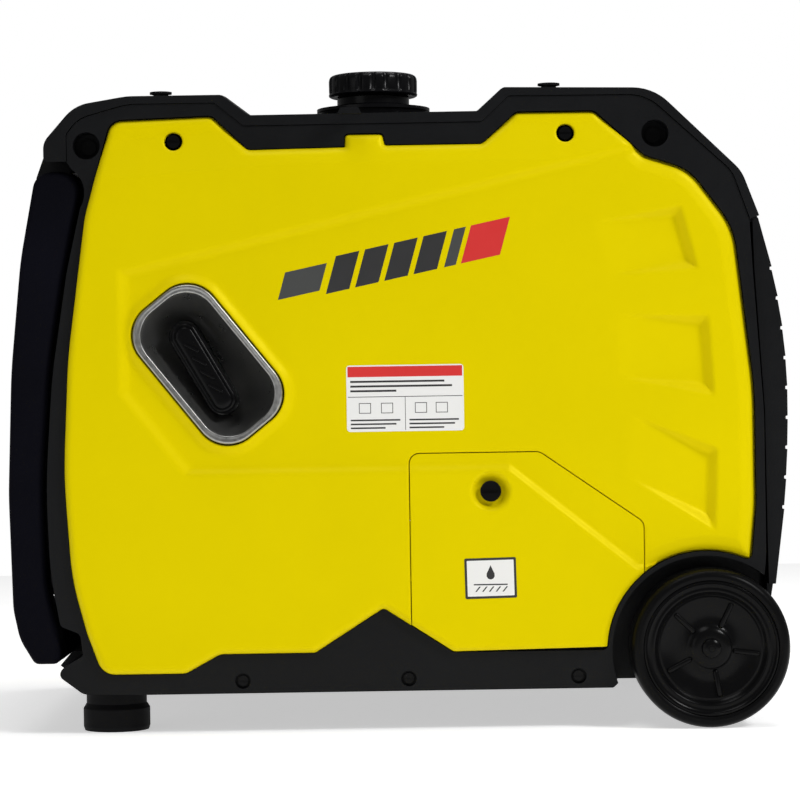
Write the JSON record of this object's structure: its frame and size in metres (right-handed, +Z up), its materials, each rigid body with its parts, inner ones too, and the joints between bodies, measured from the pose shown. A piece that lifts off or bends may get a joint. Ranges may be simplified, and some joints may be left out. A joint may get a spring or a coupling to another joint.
{
  "type": "portable inverter generator",
  "caption": "Closed suitcase inverter generator with side panels, recoil starter, oil door, fold-down pull handle, transport wheels, louvred rear and knurled fuel cap.",
  "frame": {"origin": "on the floor under the middle of the overall box", "axes": "+X towards the wheel end, -Y the side with the recoil starter, +Z up"},
  "size_m": [0.6013, 0.43, 0.5265],
  "materials": {
    "black_plastic": "textured",
    "yellow_plastic": "satin",
    "panel_grey": "textured",
    "red_plastic": "gloss",
    "breaker_plastic": "satin",
    "rubber": "matte",
    "tyre": "matte",
    "rim_plastic": "satin",
    "screw_steel": "satin",
    "satin_trim": "satin",
    "tray_paint": "satin",
    "cast_aluminium": "cast",
    "rotor_iron": "machined",
    "muffler_steel": "satin",
    "rope": "braided",
    "clear_window": "clear",
    "ceramic": "glazed"
  },
  "bodies": {
    "case": {"side_frame_near": "black_plastic", "side_frame_far": "black_plastic", "top_cover": "black_plastic", "top_plugs": "black_plastic", "front_bezel": "black_plastic", "rear_cover": "black_plastic", "starter_bowl": "black_plastic", "filler_collar": "black_plastic", "starter_housing": "black_plastic", "air_filter_box": "black_plastic", "fan_shroud": "black_plastic", "power_outlets": "black_plastic", "side_panel_near": "yellow_plastic", "side_panel_far": "yellow_plastic", "service_cover": "yellow_plastic", "control_panel": "panel_grey", "feet": "rubber", "engine_mounts": "rubber", "case_screws": "screw_steel", "pivot_pins": "screw_steel", "axle": "screw_steel", "axle_caps": "screw_steel", "main_bearings": "screw_steel", "tailpipe": "screw_steel", "starter_bezel": "satin_trim", "base_tray": "tray_paint", "fuel_tank": "tray_paint", "filler_neck": "tray_paint", "crankcase": "cast_aluminium", "cylinder": "cast_aluminium", "valve_cover": "cast_aluminium", "carburettor": "cast_aluminium", "inverter_module": "cast_aluminium", "stator": "rotor_iron", "muffler": "muffler_steel", "display_lens": "clear_window", "spark_plug": "ceramic"},
    "handle": {"handle_arm_near": "black_plastic", "handle_arm_far": "black_plastic", "handle_crossbar": "black_plastic", "handle_grip": "rubber"},
    "wheel_near": {"wheel_rim_near": "rim_plastic", "tyre_near": "tyre"},
    "wheel_far": {"wheel_rim_far": "rim_plastic", "tyre_far": "tyre"},
    "cap_seal": {"cap_gasket": "rubber"},
    "fuel_cap_body": {"fuel_cap": "black_plastic"},
    "starter_pull": {"starter_grip": "rubber", "starter_rope": "rope"},
    "starter_reel_body": {"starter_reel": "panel_grey"},
    "oil_door_body": {"oil_door": "yellow_plastic"},
    "door_screw_body": {"oil_door_screw": "screw_steel"},
    "oil_cap_body": {"oil_filler_cap": "yellow_plastic"},
    "rotor": {"crankshaft": "screw_steel", "flywheel_rotor": "rotor_iron"},
    "engine_knob_body": {"engine_switch_knob": "panel_grey"},
    "eco_rocker_body": {"eco_rocker": "black_plastic"},
    "start_button_body": {"start_button": "red_plastic"},
    "breaker_ac_body": {"breaker_button_ac": "breaker_plastic"},
    "breaker_dc_body": {"breaker_button_dc": "breaker_plastic"}
  },
  "joints": [
    {"name": "handle_fold", "type": "hinge", "parent": "case", "child": "handle", "pos_m": [-0.2605, 0, 0.417], "axis": [0, 1, 0], "range_deg": [0, 95]},
    {"name": "wheel_near_roll", "type": "hinge", "parent": "case", "child": "wheel_near", "pos_m": [0.236, -0.194, 0.061], "axis": [0, 1, 0], "continuous": true},
    {"name": "wheel_far_roll", "type": "hinge", "parent": "case", "child": "wheel_far", "pos_m": [0.236, 0.194, 0.061], "axis": [0, 1, 0], "continuous": true},
    {"name": "fuel_cap_lift", "type": "slide", "parent": "case", "child": "cap_seal", "axis": [0, 0, 1], "range_m": [0, 0.05]},
    {"name": "fuel_cap_turn", "type": "hinge", "parent": "cap_seal", "child": "fuel_cap_body", "pos_m": [-0.017, 0, 0.515], "axis": [0, 0, 1], "range_deg": [0, 90]},
    {"name": "starter_pull_slide", "type": "slide", "parent": "case", "child": "starter_pull", "axis": [0, -1, 0], "range_m": [0, 0.15], "stiffness_N_per_m": 40, "springref_m": -0.02},
    {"name": "starter_reel_turn", "type": "hinge", "parent": "case", "child": "starter_reel_body", "pos_m": [-0.1495, 0, 0.236], "axis": [1, 0, 0], "range_deg": [0, 192]},
    {"name": "oil_door_swing", "type": "hinge", "parent": "case", "child": "oil_door_body", "pos_m": [0.095, -0.2, 0.06], "axis": [1, 0, 0], "range_deg": [0, 75]},
    {"name": "door_screw_turn", "type": "hinge", "parent": "oil_door_body", "child": "door_screw_body", "pos_m": [0.07, -0.196, 0.183], "axis": [0, 1, 0], "range_deg": [0, 90]},
    {"name": "oil_cap_turn", "type": "hinge", "parent": "case", "child": "oil_cap_body", "pos_m": [0.1, -0.15, 0.186], "axis": [0, 1, 0], "range_deg": [0, 180]},
    {"name": "rotor_spin", "type": "hinge", "parent": "case", "child": "rotor", "pos_m": [0, 0, 0.236], "axis": [1, 0, 0], "continuous": true},
    {"name": "engine_knob_turn", "type": "hinge", "parent": "case", "child": "engine_knob_body", "pos_m": [-0.265, 0.066, 0.345], "axis": [1, 0, 0], "range_deg": [0, 90]},
    {"name": "eco_rocker_tilt", "type": "hinge", "parent": "case", "child": "eco_rocker_body", "pos_m": [-0.2605, 0, 0.268], "axis": [0, 1, 0], "range_deg": [-14, 0]},
    {"name": "start_button_press", "type": "slide", "parent": "case", "child": "start_button_body", "axis": [1, 0, 0], "range_m": [0, 0.003], "stiffness_N_per_m": 400, "springref_m": -0.001},
    {"name": "breaker_ac_press", "type": "slide", "parent": "case", "child": "breaker_ac_body", "axis": [1, 0, 0], "range_m": [0, 0.002], "stiffness_N_per_m": 400, "springref_m": -0.001},
    {"name": "breaker_dc_press", "type": "slide", "parent": "case", "child": "breaker_dc_body", "axis": [1, 0, 0], "range_m": [0, 0.002], "stiffness_N_per_m": 400, "springref_m": -0.001}
  ],
  "couplings": [
    {"joint": "starter_reel_turn", "follows": "starter_pull_slide", "rad_per_m": 22.222}
  ]
}
